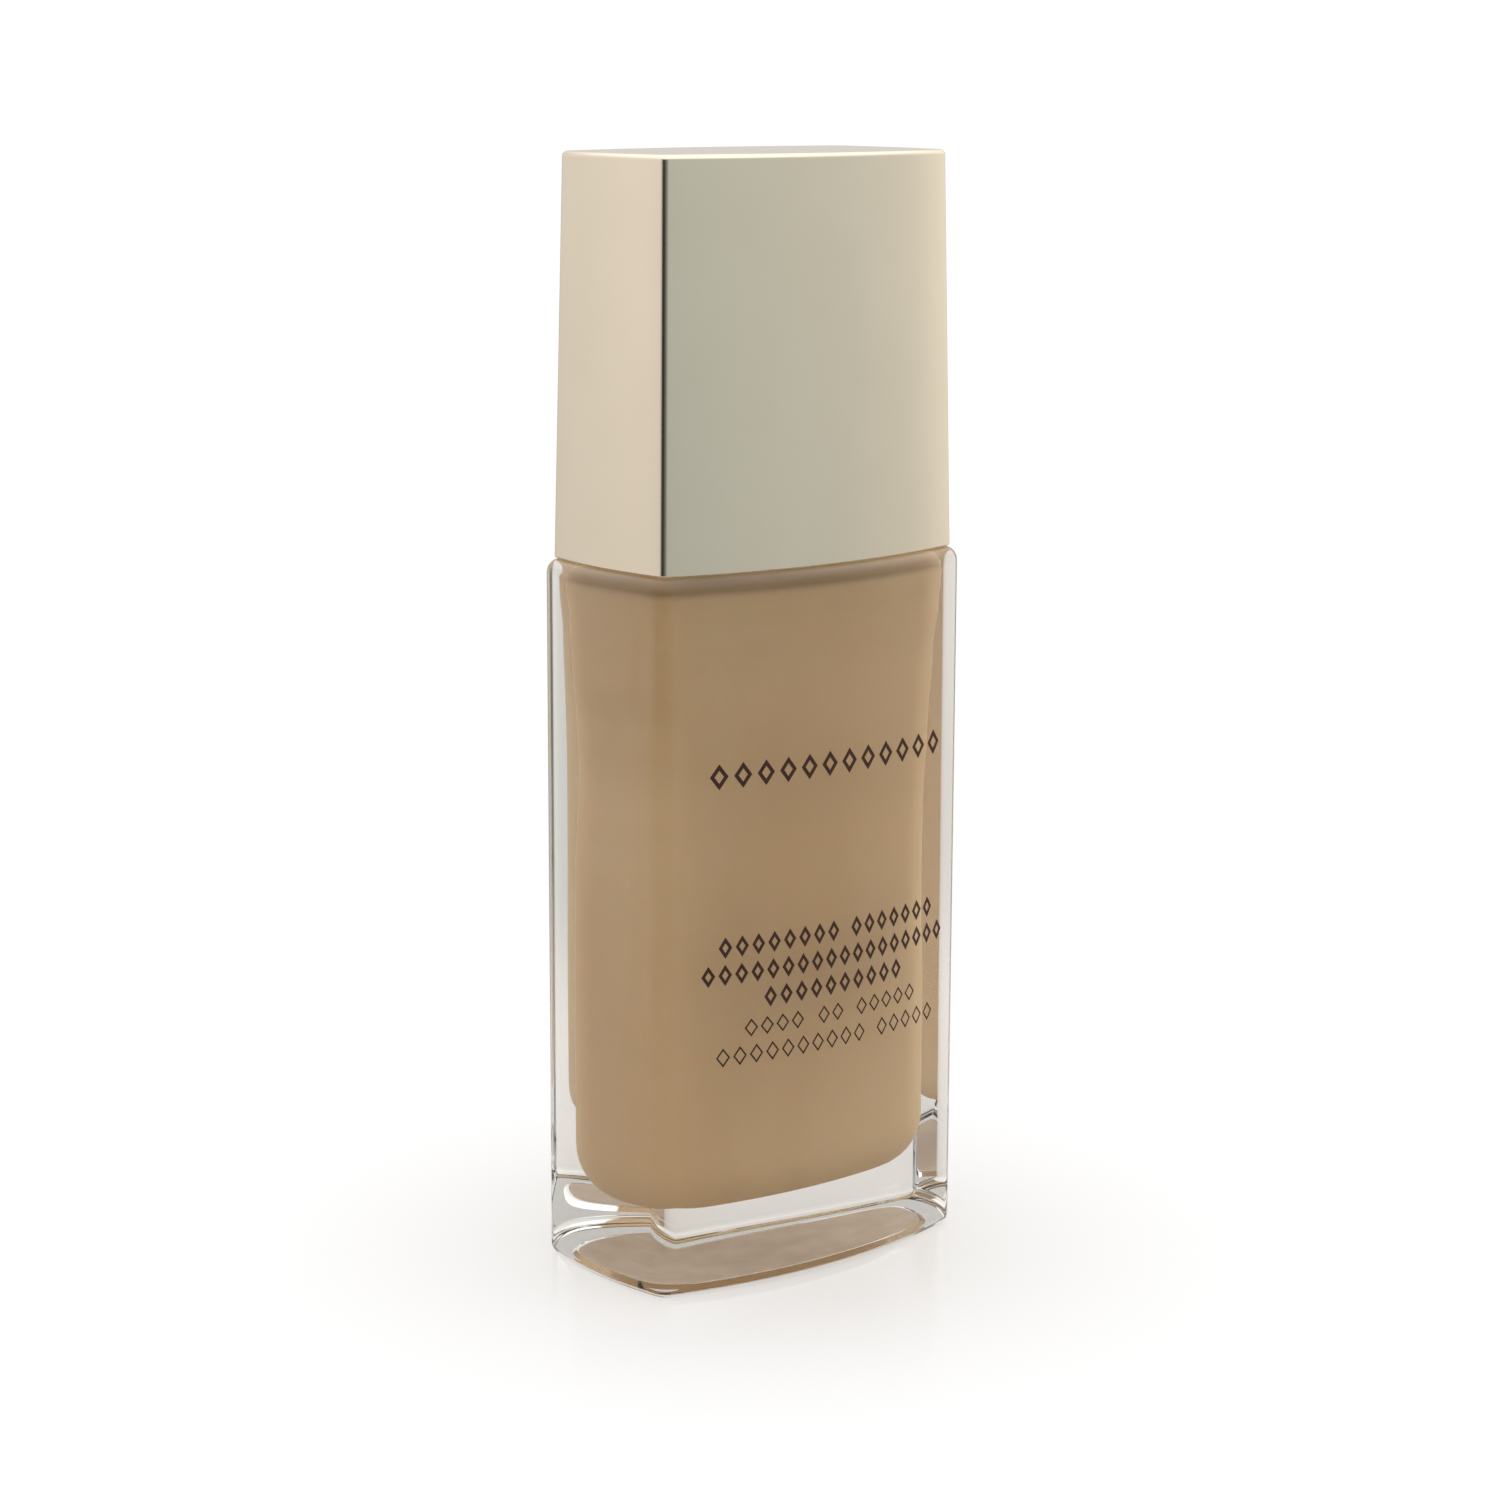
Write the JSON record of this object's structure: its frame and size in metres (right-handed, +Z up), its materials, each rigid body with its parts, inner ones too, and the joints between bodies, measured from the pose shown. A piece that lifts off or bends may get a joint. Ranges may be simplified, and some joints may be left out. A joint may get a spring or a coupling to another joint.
{
  "type": "foundation bottle",
  "caption": "Thick clear glass cosmetic bottle, bowed rectangular plan, filled with liquid make-up, with a treatment pump and a satin metal overcap.",
  "frame": {"origin": "centre of the base, on the surface it stands on", "axes": "+Z up along the pump's axis, width along X, front of the bottle and nozzle towards -Y"},
  "size_m": [0.04, 0.0252, 0.1098],
  "materials": {
    "clear_glass": "polished clear glass",
    "makeup_liquid": "opaque creamy liquid",
    "satin_gold_metal": "satin anodised, pale champagne gold",
    "white_moulding": "moulded polypropylene",
    "natural_moulding": "translucent natural polyethylene",
    "gasket_foam": "soft white gasket",
    "bright_steel": "drawn stainless wire and polished ball",
    "label_film": "plain taupe film label",
    "print_ink": "screen-printed dark brown ink"
  },
  "bodies": {
    "bottle": {"glass_bottle": "clear_glass", "foundation_fill": "makeup_liquid", "base_label": "label_film"},
    "pump": {"pump_housing": "natural_moulding", "housing_turret": "white_moulding", "neck_gasket": "gasket_foam", "dip_tube": "natural_moulding", "return_spring": "bright_steel"},
    "collar": {"pump_collar": "white_moulding", "collar_sleeve": "satin_gold_metal"},
    "piston": {"piston": "natural_moulding"},
    "actuator": {"piston_rod": "white_moulding", "pump_stem": "white_moulding", "actuator_core": "white_moulding", "actuator_shell": "satin_gold_metal", "nozzle_insert": "white_moulding"},
    "inlet_ball": {"inlet_ball": "bright_steel"},
    "cap": {"cap_shell": "satin_gold_metal", "cap_liner": "white_moulding", "cap_grip_sleeve": "white_moulding"}
  },
  "joints": [
    {"name": "pump_lift", "type": "slide", "parent": "bottle", "child": "pump", "axis": [0, 0, 1], "range_m": [0, 0.00508]},
    {"name": "collar_turn", "type": "hinge", "parent": "pump", "child": "collar", "pos_m": [0, 0, 0.0802], "axis": [0, 0, 1], "range_deg": [0, 576]},
    {"name": "actuator_press", "type": "slide", "parent": "pump", "child": "piston", "axis": [0, 0, -1], "range_m": [0, 0.0042], "stiffness_N_per_m": 1200, "springref_m": -0.003, "deforming": ["return_spring"]},
    {"name": "actuator_turn", "type": "hinge", "parent": "piston", "child": "actuator", "pos_m": [0, 0, 0.0993], "axis": [0, 0, 1], "continuous": true},
    {"name": "inlet_ball_lift", "type": "slide", "parent": "pump", "child": "inlet_ball", "axis": [0, 0, 1], "range_m": [0, 0.0008]},
    {"name": "cap_lift", "type": "slide", "parent": "pump", "child": "cap", "axis": [0, 0, 1], "range_m": [0, 0.06]}
  ],
  "couplings": [
    {"joint": "collar_turn", "follows": "pump_lift", "rad_per_m": 1979}
  ]
}
